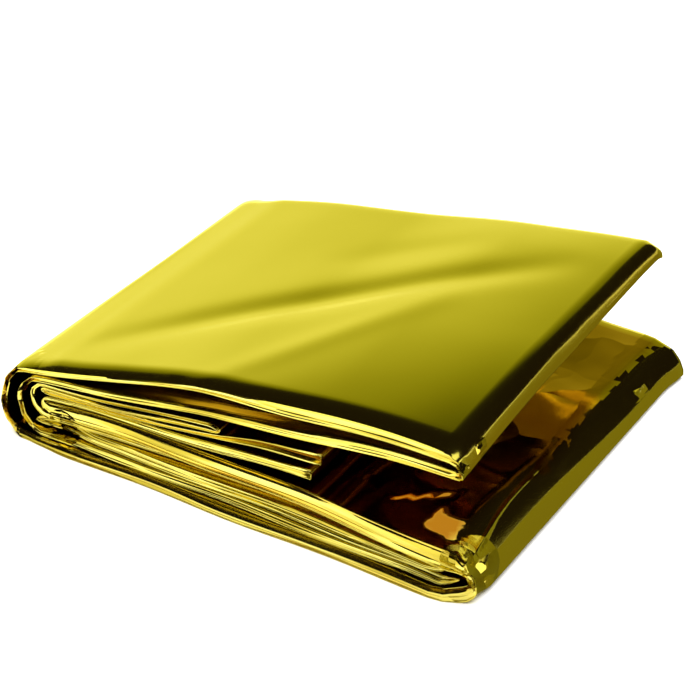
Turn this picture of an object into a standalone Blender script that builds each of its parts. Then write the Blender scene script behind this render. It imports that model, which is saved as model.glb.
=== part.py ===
"""Folded emergency foil blanket: one film sheet, pleated to a band and folded back and forth.

The band runs across the blanket like a ribbon. Its strips lie on each other between the spine,
at -X, and the open side, at +X, where the upper leaf stands up from the lower one like a V.
A section across the strips (X and Z) is worked out at each depth (Y), and the sections are
skinned into one closed solid. Lengths are millimetres until the mesh is made.
"""

import math
from collections import namedtuple

import bmesh
import bpy

MM = 0.001
LEAF = 120.0  # length of a leaf, spine to open side
DEPTH = 100.0  # length of the spine, front edge to back edge
GAP = 0.38  # air left between two strips of the lower leaf
SHORT_THICK = 0.75  # the thin strips of the short leaves
CROWN = {"u1": 1.8, "u2": 0.6}  # how far a strip's middle stands above its rims
CROWN_RIM = 5.5  # width of the rim that curves down at the front and the back
CROWN_START = 26.0  # distance from the spine over which the crown grows
NOSE = ((0.0, 0.42), (0.9, 0.86), (2.6, 1.0))  # distance from the edge, share of the thickness
STATIONS = (0.0, 0.9, 2.6, 5.5, 9.0, 22.0, 40.0, 60.0, 78.0, 91.0, 94.5, 97.4, 99.1, 100.0)
END_CLEAR = 2.0  # no grid point lies nearer to a strip's end
GRID = (12.0, 22.0, 32.0, 44.0, 56.0, 68.0, 80.0, 91.0, 102.0, 110.0)
FOLD_ANGLES = (30.0, 60.0)  # points of a fold, in each of its two quarters

# Upper sides of the lower leaf's strips, from the lowest up, at a distance from the spine.
Lower = namedtuple("Lower", "x l1 l2 l3 l4 l5 l6")
LOWER_FRONT = (
    Lower(4.0, 1.8, 3.5, 5.0, 6.5, 8.0, 11.0),
    Lower(12.0, 2.3, 4.2, 5.7, 7.2, 8.8, 12.2),
    Lower(32.0, 3.1, 5.1, 6.6, 8.0, 9.7, 13.7),
    Lower(56.0, 3.2, 5.2, 6.8, 8.5, 10.0, 14.4),
    Lower(80.0, 3.2, 5.2, 6.7, 8.3, 9.8, 14.3),
    Lower(102.0, 3.2, 4.9, 6.2, 7.5, 8.5, 13.4),
    Lower(112.0, 2.9, 4.4, 5.6, 6.8, 7.8, 13.1),
    Lower(124.0, 2.6, 4.0, 5.1, 6.2, 7.2, 12.7),
)
LOWER_BACK = (
    Lower(4.0, 1.6, 3.2, 4.8, 6.4, 7.9, 9.3),
    Lower(12.0, 1.7, 3.4, 5.1, 6.8, 8.4, 9.9),
    Lower(32.0, 2.3, 4.4, 6.4, 8.4, 10.3, 12.4),
    Lower(56.0, 2.3, 4.4, 6.4, 8.4, 10.4, 12.8),
    Lower(80.0, 2.0, 3.7, 5.4, 7.1, 8.8, 11.0),
    Lower(102.0, 1.6, 2.9, 4.2, 5.4, 6.6, 8.9),
    Lower(112.0, 1.5, 2.7, 3.8, 4.9, 5.9, 8.5),
    Lower(124.0, 1.5, 2.6, 3.6, 4.6, 5.5, 8.2),
)

# Upper sides and thickness of the upper leaf's two strips.
Upper = namedtuple("Upper", "x u1 u1_thick u2 u2_thick")
UPPER_FRONT = (
    Upper(4.0, 18.2, 0.9, 16.6, 0.9),
    Upper(12.0, 19.8, 0.8, 18.25, 0.9),
    Upper(32.0, 24.9, 0.8, 21.2, 1.0),
    Upper(56.0, 30.8, 1.3, 25.2, 1.3),
    Upper(80.0, 33.9, 2.4, 28.8, 1.9),
    Upper(102.0, 35.7, 2.1, 31.2, 1.9),
    Upper(124.0, 36.0, 1.6, 32.1, 1.4),
)
UPPER_BACK = (
    Upper(4.0, 18.6, 1.0, 16.6, 1.0),
    Upper(12.0, 20.3, 1.0, 18.2, 1.0),
    Upper(32.0, 24.6, 1.0, 21.6, 1.1),
    Upper(56.0, 28.7, 1.3, 25.0, 1.3),
    Upper(80.0, 32.4, 1.3, 28.6, 1.4),
    Upper(102.0, 35.4, 1.4, 31.8, 1.4),
    Upper(124.0, 37.0, 1.4, 33.6, 1.4),
)

# Upper sides of the four strips of the two short leaves that lie inside the V.
Short = namedtuple("Short", "x s1u s1l s2u s2l s2l_thick")
SHORT_FRONT = (
    Short(4.0, 16.0, 14.9, 13.8, 12.7, 0.8),
    Short(12.0, 16.85, 15.7, 14.55, 13.4, 0.8),
    Short(32.0, 18.5, 17.4, 16.3, 15.1, 1.0),
    Short(56.0, 21.6, 20.3, 18.8, 16.9, 2.0),
    Short(70.0, 23.8, 22.3, 22.2, 17.8, 1.7),
    Short(86.0, 26.0, 24.6, 24.1, 19.6, 2.6),
)
SHORT_BACK = (
    Short(4.0, 14.0, 12.8, 11.6, 10.5, 0.8),
    Short(12.0, 15.5, 14.2, 12.9, 11.6, 1.2),
    Short(32.0, 18.3, 17.0, 15.7, 14.5, 1.6),
    Short(56.0, 20.6, 19.2, 17.4, 15.6, 1.9),
    Short(70.0, 22.0, 20.6, 18.4, 16.0, 2.1),
    Short(86.0, 24.0, 22.4, 20.2, 16.9, 2.3),
)

# Where a strip's front and back edges lie, at the spine and at the open side.
Strip = namedtuple("Strip", "name near_spine near_open far_spine far_open")
STRIPS = (
    Strip("s2u", 1.0, 0.9, 98.6, 99.6),
    Strip("s1l", 0.7, 0.8, 98.9, 99.4),
    Strip("s1u", 1.0, 1.2, 98.2, 99.0),
    Strip("l5", 1.4, -0.2, 99.2, 101.6),
    Strip("l4", 0.5, -1.0, 99.7, 102.0),
    Strip("l3", 0.9, -0.9, 99.3, 101.4),
    Strip("l2", 0.4, -1.2, 99.8, 102.2),
    Strip("u2", 0.6, -0.8, 98.4, 98.6),
    Strip("u1", 1.6, -1.4, 97.8, 98.3),
    Strip("l1", 0.2, -1.5, 100.0, 102.5),
    Strip("l6", 1.0, -1.6, 99.4, 102.7),
    Strip("s2l", 1.2, 0.2, 99.0, 99.8),
)

EDGE_WAVE = 0.3  # how far a strip's front and back edges wander in and out
EDGE_WAVE_PITCH = 47.0

# Stretches where a strip's front edge lies further back: middle, half length and depth.
Bite = namedtuple("Bite", "name x half depth")
BITES = (
    Bite("l5", 78.0, 46.0, 2.2),
    Bite("l4", 14.0, 13.0, 2.4),
    Bite("l3", 13.0, 12.0, 1.8),
    Bite("l1", 8.0, 9.0, 0.6),
)

# Folds and loose ends in the order of the sheet. side is -1 at the spine and 1 at the open
# side, apex is how far the fold reaches, at the front and the back, and leave and arrive are
# the lengths of its two quarters. rise is the apex's share of the fold's height.
Fold = namedtuple("Fold", "side apex_near apex_far leave arrive rise thick")
FIRST_END = (83.5, 83.0)
LAST_END = (81.0, 79.0)
FOLDS = (
    Fold(-1, 10.0, 7.6, 2.4, 2.4, 0.50, 0.85),
    Fold(1, 58.4, 57.0, 3.0, 3.0, 0.50, 0.85),
    Fold(-1, 6.6, 4.2, 4.6, 4.6, 0.45, 0.95),
    Fold(1, 112.8, 114.2, 4.5, 4.5, 0.50, 1.1),
    Fold(-1, 7.3, 4.8, 3.6, 3.6, 0.50, 1.0),
    Fold(1, 116.2, 118.0, 4.5, 4.5, 0.50, 1.1),
    Fold(-1, 3.2, 1.0, 6.0, 7.2, 0.50, 1.1),
    Fold(1, 116.8, 115.4, 3.6, 5.6, 0.36, 1.2),
    Fold(-1, -1.8, -3.4, 6.8, 6.2, 0.50, 1.5),
    Fold(1, 121.4, 123.4, 3.4, 16.0, 0.36, 1.6),
    Fold(-1, 9.9, 7.5, 2.6, 2.6, 0.50, 0.9),
)

# Soft ridges (+) and troughs (-) across the leaves: from, to, half width and height.
Crease = namedtuple("Crease", "strips x0 y0 x1 y1 width height")
CREASES = (
    Crease("u", 10.0, 40.0, 78.0, 100.0, 9.0, -0.8),
    Crease("u", 34.0, 26.0, 112.0, 84.0, 11.0, 0.8),
    Crease("u", 58.0, 6.0, 118.0, 46.0, 9.0, -0.7),
    Crease("l", 94.0, 98.0, 112.0, 4.0, 5.0, 0.7),
    Crease("l", 74.0, 74.0, 106.0, 50.0, 4.5, -0.6),
)

# Places where the sheet is pushed in or pulled out: middle, reach and push along each axis.
Dent = namedtuple("Dent", "x y z reach dx dy dz")
DENTS = (
    Dent(123.0, 104.0, 5.0, 12.0, -1.0, -1.8, -0.3),
    Dent(121.0, -1.5, 2.0, 7.0, -0.4, 1.6, 1.4),
    Dent(114.0, -2.0, 11.0, 6.0, 0.3, 0.8, -0.9),
    Dent(118.0, -2.0, 34.0, 8.0, -1.2, 1.2, -0.6),
    Dent(-1.0, 2.0, 12.0, 7.0, -0.5, 0.4, 0.0),
    Dent(2.0, 0.5, 1.0, 6.0, 1.2, 0.6, 0.6),
)

FILM_COLOUR = (0.80, 0.62, 0.06, 1.0)
FILM_ROUGHNESS = 0.12


def blend(low, high, share):
    return low + (high - low) * share


def slope(places, values, row):
    low, high = max(row - 1, 0), min(row + 1, len(places) - 1)
    return (values[high] - values[low]) / (places[high] - places[low])


def in_table(rows, column, x):
    """Value of a column at x, on a smooth curve through the rows."""
    places = [row.x for row in rows]
    values = [getattr(row, column) for row in rows]
    x = min(places[-1], max(places[0], x))
    left = next(row for row in range(len(rows) - 1) if x <= places[row + 1])
    width = places[left + 1] - places[left]
    t = (x - places[left]) / width
    level = (2 * t**3 - 3 * t**2 + 1) * values[left] + (3 * t**2 - 2 * t**3) * values[left + 1]
    tilt = (t**3 - 2 * t**2 + t) * slope(places, values, left)
    tilt += (t**3 - t**2) * slope(places, values, left + 1)
    return level + width * tilt


def between_edges(front_rows, back_rows, column, x, depth):
    front = in_table(front_rows, column, x)
    back = in_table(back_rows, column, x)
    return blend(front, back, depth)


def rim(edge_distance, width):
    """0 at an edge, rising on a quarter ellipse to 1 at the given width."""
    inward = min(1.0, max(0.0, edge_distance / width))
    return math.sqrt(1.0 - (1.0 - inward) ** 2)


def crown(name, x, depth):
    if name not in CROWN:
        return 0.0
    from_edge = min(depth, 1.0 - depth) * DEPTH
    from_spine = min(1.0, max(0.0, x / CROWN_START))
    return CROWN[name] * rim(from_edge, CROWN_RIM) * from_spine


def strip_sides(name, x, depth):
    """Upper and lower side of a strip at x, for a depth of 0 at the front to 1 at the back."""
    if name.startswith("l"):
        top = between_edges(LOWER_FRONT, LOWER_BACK, name, x, depth)
        number = int(name[1])
        bottom = 0.0
        if number > 1:
            below = "l" + str(number - 1)
            bottom = between_edges(LOWER_FRONT, LOWER_BACK, below, x, depth) + GAP
        return top, bottom
    if name.startswith("u"):
        top = between_edges(UPPER_FRONT, UPPER_BACK, name, x, depth) + crown(name, x, depth)
        return top, top - between_edges(UPPER_FRONT, UPPER_BACK, name + "_thick", x, depth)
    top = between_edges(SHORT_FRONT, SHORT_BACK, name, x, depth)
    thick = SHORT_THICK
    if name == "s2l":
        thick = between_edges(SHORT_FRONT, SHORT_BACK, "s2l_thick", x, depth)
    return top, top - thick


def strip_ends(number, depth):
    """Where a strip starts and ends between its two folds, at a depth."""
    start = blend(FIRST_END[0], FIRST_END[1], depth)
    end = blend(LAST_END[0], LAST_END[1], depth)
    if number > 0:
        before = FOLDS[number - 1]
        start = fold_apex(before, depth) - before.side * before.arrive
    if number < len(FOLDS):
        after = FOLDS[number]
        end = fold_apex(after, depth) - after.side * after.leave
    return start, end


def fold_apex(fold, depth):
    return blend(fold.apex_near, fold.apex_far, depth)


def strip_points(number, depth):
    """(side a, side b) pairs along a strip; side a is on the left of the way it runs."""
    start, end = strip_ends(number, depth)
    near, far = sorted(strip_ends(number, 0.0)), sorted(strip_ends(number, 1.0))
    low, high = max(near[0], far[0]) + END_CLEAR, min(near[1], far[1]) - END_CLEAR
    inside = [x for x in GRID if low < x < high]
    if end < start:
        inside.reverse()
    points = []
    for x in [start, *inside, end]:
        top, bottom = strip_sides(STRIPS[number].name, x, depth)
        if end > start:
            points.append(((x, top), (x, bottom)))
        else:
            points.append(((x, bottom), (x, top)))
    return points


def quarter_turns(leave, arrive, apex_x, rise):
    """Points of a fold's outline between two ends: two quarter ellipses that meet at its apex."""
    low, high = min(leave[1], arrive[1]), max(leave[1], arrive[1])
    apex_z = blend(low, high, rise)
    points = []
    for degrees in FOLD_ANGLES:
        angle = math.radians(degrees)
        x = blend(leave[0], apex_x, math.sin(angle))
        z = blend(apex_z, leave[1], math.cos(angle))
        points.append((x, z))
    points.append((apex_x, apex_z))
    for degrees in reversed(FOLD_ANGLES):
        angle = math.radians(degrees)
        x = blend(arrive[0], apex_x, math.sin(angle))
        z = blend(apex_z, arrive[1], math.cos(angle))
        points.append((x, z))
    return points


def fold_points(fold, leave, arrive, apex_x):
    """(side a, side b) pairs of a fold between the pairs where it leaves and arrives."""
    spans = [abs(leave[side][1] - arrive[side][1]) for side in (0, 1)]
    outlines = []
    for side in (0, 1):
        is_outer = spans[side] == max(spans)
        reach = apex_x if is_outer else apex_x - fold.side * fold.thick
        outlines.append(quarter_turns(leave[side], arrive[side], reach, fold.rise))
    return list(zip(*outlines))


def edge_line(strip, x, depth):
    """Y of a strip at a depth, between its two slightly wavy edges."""
    share = min(1.1, max(-0.1, x / LEAF))
    near = blend(strip.near_spine, strip.near_open, share)
    far = blend(strip.far_spine, strip.far_open, share)
    turn = 2.0 * math.pi * x / EDGE_WAVE_PITCH + STRIPS.index(strip)
    wave = EDGE_WAVE * math.sin(turn)
    for bite in BITES:
        if bite.name == strip.name:
            off = min(1.0, abs(x - bite.x) / bite.half)
            near += bite.depth * (1.0 - off**2) ** 2
    return blend(near + wave, far - wave, depth)


def crease_lift(kind, x, y):
    lift = 0.0
    for crease in CREASES:
        if crease.strips != kind:
            continue
        along_x, along_y = crease.x1 - crease.x0, crease.y1 - crease.y0
        length = math.hypot(along_x, along_y)
        along = ((x - crease.x0) * along_x + (y - crease.y0) * along_y) / length**2
        across = ((x - crease.x0) * along_y - (y - crease.y0) * along_x) / length
        fade = max(0.0, 1.0 - (2.0 * along - 1.0) ** 2)
        lift += crease.height * fade * math.exp(-((across / crease.width) ** 2))
    return lift


def dented(x, y, z):
    """The point after every dent. What lies on the surface stays on it."""
    grip = min(1.0, z / 2.0)
    moved = [x, y, z]
    for dent in DENTS:
        distance = math.dist((x, y, z), (dent.x, dent.y, dent.z)) / dent.reach
        if distance >= 1.0:
            continue
        weight = (1.0 - distance**2) ** 2
        moved[0] += dent.dx * weight
        moved[1] += dent.dy * weight
        moved[2] += dent.dz * weight * grip
    return tuple(moved)


def nose_share(depth):
    """How much of its full thickness a strip has at this depth."""
    from_edge = min(depth, 1.0 - depth) * DEPTH
    for near, far in zip(NOSE, NOSE[1:]):
        if from_edge <= far[0]:
            share = (from_edge - near[0]) / (far[0] - near[0])
            return blend(near[1], far[1], share)
    return 1.0


def section(depth):
    """The whole sheet at one depth, end to end: (side a, side b, from strip, to strip, share)."""
    pairs = []
    for number, strip in enumerate(STRIPS):
        run = strip_points(number, depth)
        if number > 0:
            fold = FOLDS[number - 1]
            turned = fold_points(fold, pairs[-1], run[0], fold_apex(fold, depth))
            for place, (a, b) in enumerate(turned, 1):
                share = place / (len(turned) + 1)
                pairs.append((a, b, STRIPS[number - 1], strip, share))
        pairs.extend((a, b, strip, strip, 0.0) for a, b in run)
    return pairs


def placed(point, from_strip, to_strip, share, depth):
    x, z = point
    y = blend(edge_line(from_strip, x, depth), edge_line(to_strip, x, depth), share)
    kinds = (from_strip.name[0], to_strip.name[0])
    lifts = [crease_lift(kind, x, y) for kind in kinds]
    on_surface = min(1.0, z / 6.0)
    return dented(x, y, z + blend(lifts[0], lifts[1], share) * on_surface)


def side_points(depth):
    """Rounded-off points of sides a and b at one depth, in space."""
    nose = nose_share(depth)
    side_a, side_b = [], []
    for a, b, from_strip, to_strip, share in section(depth):
        middle = ((a[0] + b[0]) / 2, (a[1] + b[1]) / 2)
        thin_a = tuple(blend(m, v, nose) for m, v in zip(middle, a))
        thin_b = tuple(blend(m, v, nose) for m, v in zip(middle, b))
        side_a.append(placed(thin_a, from_strip, to_strip, share, depth))
        side_b.append(placed(thin_b, from_strip, to_strip, share, depth))
    return side_a, side_b


def skin(rings):
    """A closed mesh over the sections: two sides, two loose ends, front and back edges."""
    mesh = bmesh.new()
    side_a = [[mesh.verts.new(p) for p in a] for a, b in rings]
    side_b = [[mesh.verts.new(p) for p in b] for a, b in rings]
    last = len(side_a[0]) - 1
    for near in range(len(rings) - 1):
        far = near + 1
        for k in range(last):
            mesh.faces.new((side_a[near][k], side_a[near][k + 1], side_a[far][k + 1], side_a[far][k]))
            mesh.faces.new((side_b[near][k + 1], side_b[near][k], side_b[far][k], side_b[far][k + 1]))
        mesh.faces.new((side_a[near][0], side_a[far][0], side_b[far][0], side_b[near][0]))
        mesh.faces.new((side_b[near][last], side_b[far][last], side_a[far][last], side_a[near][last]))
    for edge in (0, len(rings) - 1):
        for k in range(last):
            corners = (side_a[edge][k], side_b[edge][k], side_b[edge][k + 1], side_a[edge][k + 1])
            mesh.faces.new(corners)
    bmesh.ops.recalc_face_normals(mesh, faces=mesh.faces)
    return mesh


def stand_on_origin(mesh):
    """The foot of the bounding box's middle goes to the origin, and millimetres become metres."""
    for axis, share in ((0, 0.5), (1, 0.5), (2, 0.0)):
        places = [vert.co[axis] for vert in mesh.verts]
        middle = blend(min(places), max(places), share)
        for vert in mesh.verts:
            vert.co[axis] = (vert.co[axis] - middle) * MM


def gold_film():
    material = bpy.data.materials.new("gold_film")
    material.use_nodes = True
    shader = material.node_tree.nodes["Principled BSDF"]
    shader.inputs["Base Color"].default_value = FILM_COLOUR
    shader.inputs["Metallic"].default_value = 1.0
    shader.inputs["Roughness"].default_value = FILM_ROUGHNESS
    return material


def foil_blanket():
    rings = [side_points(station / DEPTH) for station in STATIONS]
    mesh = skin(rings)
    stand_on_origin(mesh)
    data = bpy.data.meshes.new("foil_blanket")
    mesh.to_mesh(data)
    mesh.free()
    data.materials.append(gold_film())
    blanket = bpy.data.objects.new("foil_blanket", data)
    bpy.context.scene.collection.objects.link(blanket)
    return blanket


def main():
    for old in list(bpy.data.objects):
        bpy.data.objects.remove(old)
    foil_blanket()


main()
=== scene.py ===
"""Looks of the folded emergency foil blanket: a gold film sheet, pleated to a band and folded.

The sheet follows the folds of its CAD solid. A section across the strips (X and Z) is worked out
at many depths (Y), and the sections are skinned into one closed sheet with its ply edges, creases
and crumples. Lengths are millimetres until the mesh is made.
"""

import math
from collections import namedtuple

import bpy
import numpy as np
from mathutils import Matrix, Vector


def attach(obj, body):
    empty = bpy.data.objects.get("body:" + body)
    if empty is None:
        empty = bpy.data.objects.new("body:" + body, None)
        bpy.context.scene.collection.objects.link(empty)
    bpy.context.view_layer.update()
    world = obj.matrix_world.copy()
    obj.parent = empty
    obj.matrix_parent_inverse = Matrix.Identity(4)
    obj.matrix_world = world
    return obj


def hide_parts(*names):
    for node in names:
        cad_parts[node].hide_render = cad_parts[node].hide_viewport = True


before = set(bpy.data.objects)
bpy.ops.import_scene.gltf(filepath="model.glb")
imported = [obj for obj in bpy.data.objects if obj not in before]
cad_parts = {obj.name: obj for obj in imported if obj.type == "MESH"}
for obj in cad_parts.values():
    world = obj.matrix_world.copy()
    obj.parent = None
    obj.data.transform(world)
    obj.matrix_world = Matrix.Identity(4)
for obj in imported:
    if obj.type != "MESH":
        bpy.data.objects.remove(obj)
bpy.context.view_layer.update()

MM = 0.001
LEAF = 120.0  # length of a leaf, spine to open side
DEPTH = 100.0  # length of the spine, front edge to back edge
BOX_MIDDLE = (59.918, 50.467)  # middle of the CAD solid's box, from the spine and the front
GAP = 0.38  # air left between two strips of the lower leaf
SHORT_THICK = 0.75  # the thin strips of the short leaves
CROWN = {"u1": 1.8, "u2": 0.6}  # how far a strip's middle stands above its rims
CROWN_RIM = 4.0  # width of the rim that curves down at the front and the back
CROWN_START = 13.0  # distance from the spine over which the crown grows
BELLY_RISE = (2.5, 8.0)  # distances from an edge between which u1 sags towards u2
BELLY_REACH = (14.0, 30.0, 104.0, 115.0)  # the sag grows between the first two, and fades again
BELLY_GAP = 0.5  # air left under the sag

# Upper sides of the lower leaf's strips, from the lowest up, at a distance from the spine.
Lower = namedtuple("Lower", "x l1 l2 l3 l4 l5 l6")
LOWER_FRONT = (
    Lower(4.0, 1.8, 3.5, 5.0, 6.5, 8.0, 11.0),
    Lower(12.0, 2.3, 4.2, 5.7, 7.2, 8.8, 12.2),
    Lower(32.0, 3.1, 5.1, 6.6, 8.0, 9.7, 13.7),
    Lower(56.0, 3.2, 5.2, 6.8, 8.5, 10.0, 14.4),
    Lower(80.0, 3.2, 5.2, 6.7, 8.3, 9.8, 14.3),
    Lower(102.0, 3.2, 4.9, 6.2, 7.5, 8.5, 13.4),
    Lower(112.0, 2.9, 4.4, 5.6, 6.8, 7.8, 13.1),
    Lower(124.0, 2.6, 4.0, 5.1, 6.2, 7.2, 12.7),
)
LOWER_BACK = (
    Lower(4.0, 1.6, 3.2, 4.8, 6.4, 7.9, 9.3),
    Lower(12.0, 1.7, 3.4, 5.1, 6.8, 8.4, 9.9),
    Lower(32.0, 2.3, 4.4, 6.4, 8.4, 10.3, 12.4),
    Lower(56.0, 2.3, 4.4, 6.4, 8.4, 10.4, 12.8),
    Lower(80.0, 2.0, 3.7, 5.4, 7.1, 8.8, 11.0),
    Lower(102.0, 1.6, 2.9, 4.2, 5.4, 6.6, 8.9),
    Lower(112.0, 1.5, 2.7, 3.8, 4.9, 5.9, 8.5),
    Lower(124.0, 1.5, 2.6, 3.6, 4.6, 5.5, 8.2),
)

# Upper sides and thickness of the upper leaf's two strips.
Upper = namedtuple("Upper", "x u1 u1_thick u2 u2_thick")
UPPER_FRONT = (
    Upper(4.0, 18.2, 0.9, 16.6, 0.9),
    Upper(12.0, 19.8, 0.8, 18.25, 0.9),
    Upper(32.0, 24.9, 0.8, 21.2, 1.0),
    Upper(56.0, 30.8, 1.3, 25.2, 1.3),
    Upper(80.0, 33.9, 2.4, 28.8, 1.9),
    Upper(102.0, 35.7, 2.1, 31.2, 1.9),
    Upper(124.0, 36.0, 1.6, 32.1, 1.4),
)
UPPER_BACK = (
    Upper(4.0, 18.4, 1.0, 16.6, 1.0),
    Upper(12.0, 20.0, 1.0, 18.2, 1.0),
    Upper(32.0, 24.0, 1.0, 21.6, 1.1),
    Upper(56.0, 27.5, 1.3, 24.7, 1.3),
    Upper(80.0, 30.4, 1.3, 27.9, 1.4),
    Upper(102.0, 33.2, 1.4, 31.0, 1.4),
    Upper(124.0, 34.8, 1.4, 32.7, 1.4),
)

# Upper sides of the four strips of the two short leaves that lie inside the V.
Short = namedtuple("Short", "x s1u s1l s2u s2u_thick s2l s2l_thick")
SHORT_FRONT = (
    Short(4.0, 16.0, 14.9, 13.8, 0.75, 12.7, 0.8),
    Short(12.0, 16.85, 15.7, 14.55, 0.75, 13.4, 0.8),
    Short(32.0, 18.5, 17.4, 16.3, 0.8, 15.1, 1.0),
    Short(56.0, 21.6, 20.3, 19.0, 1.1, 16.9, 2.0),
    Short(70.0, 23.8, 22.3, 22.2, 2.2, 17.8, 1.7),
    Short(86.0, 26.0, 24.6, 24.1, 2.8, 19.6, 2.6),
)
SHORT_BACK = (
    Short(4.0, 14.0, 12.8, 11.6, 0.75, 10.5, 0.8),
    Short(12.0, 15.5, 14.2, 12.9, 0.75, 11.6, 1.2),
    Short(32.0, 18.3, 17.0, 15.7, 0.75, 14.5, 1.6),
    Short(56.0, 20.6, 19.2, 17.4, 0.8, 15.6, 1.9),
    Short(70.0, 22.0, 20.6, 18.4, 0.9, 16.0, 2.1),
    Short(86.0, 24.0, 22.4, 20.2, 1.0, 16.9, 2.3),
)

LEAF_TABLES = {
    "l": (LOWER_FRONT, LOWER_BACK),
    "u": (UPPER_FRONT, UPPER_BACK),
    "s": (SHORT_FRONT, SHORT_BACK),
}

# Where a strip's front and back edges lie, at the spine and at the open side, and the steps
# along it. Strips whose faces show take more.
Strip = namedtuple("Strip", "name near_spine near_open far_spine far_open steps")
STRIPS = (
    Strip("s2u", 1.0, 0.9, 98.6, 99.6, 26),
    Strip("s1l", 0.7, 0.8, 98.9, 99.4, 20),
    Strip("s1u", 1.0, 1.2, 98.2, 99.0, 22),
    Strip("l5", 1.4, -0.2, 99.2, 101.6, 28),
    Strip("l4", 0.5, -1.0, 99.7, 102.0, 28),
    Strip("l3", 0.9, -0.9, 99.3, 101.4, 28),
    Strip("l2", 0.4, -1.2, 99.8, 102.2, 28),
    Strip("u2", 0.6, -0.8, 98.4, 98.6, 40),
    Strip("u1", 1.6, -1.4, 97.8, 98.3, 56),
    Strip("l1", -0.5, -1.7, 100.0, 102.5, 36),
    Strip("l6", 1.0, -1.6, 99.4, 102.7, 64),
    Strip("s2l", 1.2, 0.2, 99.0, 99.8, 28),
)
EDGE_WAVE = 0.3  # how far a strip's front and back edges wander in and out
EDGE_WAVE_PITCH = 47.0
EDGE_OVERRUN = 0.1  # how far past the leaf's ends, as a share of its length, the edges run on

# Stretches where a strip's front edge lies further back: middle, half length and depth.
Bite = namedtuple("Bite", "name x half depth")
BITES = (
    Bite("l5", 78.0, 46.0, 2.2),
    Bite("l4", 14.0, 13.0, 2.4),
    Bite("l3", 13.0, 12.0, 1.8),
    Bite("l1", 8.0, 9.0, 0.6),
)

# Folds in the order of the sheet. side is -1 at the spine and 1 at the open side, apex is how
# far the fold reaches, at the front and the back, and leave and arrive are the lengths of its
# two quarters. rise is the apex's share of the fold's height, and thick the sheet's thickness
# there. corners are the angles of the creases between the flat facets of each quarter.
Fold = namedtuple("Fold", "side apex_near apex_far leave arrive rise thick corners")
ROUND = (18.0, 36.0, 54.0, 72.0)
PRESSED = (24.0, 52.0, 76.0)
FIRST_END, LAST_END = (83.5, 83.0), (81.0, 79.0)  # X of the two free ends, front and back
FOLDS = (
    Fold(-1, 10.0, 7.6, 2.4, 2.4, 0.50, 0.85, ROUND),
    Fold(1, 58.4, 57.0, 3.0, 3.0, 0.50, 0.85, ROUND),
    Fold(-1, 6.6, 4.2, 4.6, 4.6, 0.45, 0.95, PRESSED),
    Fold(1, 112.8, 114.2, 4.5, 4.5, 0.50, 1.1, ROUND),
    Fold(-1, 7.3, 4.8, 3.6, 3.6, 0.50, 1.0, ROUND),
    Fold(1, 116.2, 118.0, 4.5, 4.5, 0.50, 1.1, ROUND),
    Fold(-1, 3.2, 1.0, 6.0, 7.2, 0.50, 1.1, PRESSED),
    Fold(1, 117.0, 115.6, 3.6, 3.4, 0.14, 1.2, (42.0, 70.0)),
    Fold(-1, -1.8, -3.4, 6.8, 3.6, 0.46, 1.5, PRESSED),
    Fold(1, 119.8, 121.8, 3.4, 7.6, 0.13, 1.6, (30.0, 60.0, 77.0)),
    Fold(-1, 9.9, 7.5, 2.6, 2.6, 0.50, 0.9, ROUND),
)
SQUARE_FOLD = 9  # the number of the fold round the lower leaf's open side
SQUARE_ARRIVE, SQUARE_DEPTH = 4.0, 11.0  # length of its upper quarter at the front, and how far in
CORNER_SLANT = 4.0  # degrees by which a crease in a fold wanders along the fold
SLANT_TURNS, SLANT_SHIFT = 1.3, 2.1  # waves that it makes, and their shift from crease to crease
CORNER_WIDTH = 0.1  # how much of the facets beside it a crease rounds off

# Soft ridges (+) and troughs (-) across the leaves: from, to, half width and height.
Crease = namedtuple("Crease", "strips x0 y0 x1 y1 width height")
CREASES = (
    Crease("u", 10.0, 8.0, 106.0, 79.0, 5.3, -0.93),
    Crease("u", 52.0, -4.0, 88.0, 56.0, 4.0, 0.3),
    Crease("u", 46.0, 60.0, 84.0, 86.0, 6.0, -0.25),
    Crease("l", 98.0, 88.0, 112.0, 40.0, 4.0, 0.3),
    Crease("l", 88.0, 60.0, 110.0, 30.0, 4.0, -0.5),
    Crease("l", 84.0, 20.0, 112.0, 14.0, 3.5, 0.4),
)
CREASE_FULL_HEIGHT = 6.0  # below this height the creases fade out towards the surface
# The upper leaf swells towards its open side: the height that it drops to the front and to the
# back and over what width, and where the swelling starts and is full along X.
SWELL_NEAR, SWELL_NEAR_WIDTH = 1.9, 42.0
SWELL_FAR, SWELL_FAR_WIDTH = 0.75, 20.0
SWELL_RISE = (54.0, 84.0)

# Places where the sheet is pushed in or pulled out: middle, reach and push along each axis.
Dent = namedtuple("Dent", "x y z reach dx dy dz")
DENTS = (
    Dent(122.0, 104.0, 5.0, 12.0, 1.2, -1.2, -0.3),
    Dent(120.0, -1.5, 2.0, 9.0, -0.5, 2.6, 1.4),
    Dent(118.5, -2.5, 33.0, 5.0, -1.2, 1.2, -0.4),
    Dent(-1.0, 2.0, 12.0, 7.0, -0.5, 0.4, 0.0),
    Dent(2.0, 0.5, 1.0, 6.0, 1.2, 0.6, 0.6),
    Dent(39.5, 0.2, 28.2, 1.8, 0.0, 0.5, -0.3),
    Dent(47.5, 0.1, 30.2, 2.2, 0.2, 0.6, -0.4),
    Dent(56.5, 0.0, 31.8, 2.0, 0.0, 0.4, -0.4),
)
DENT_FULL_HEIGHT = 2.0  # below this height a dent's push up or down fades out

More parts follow.
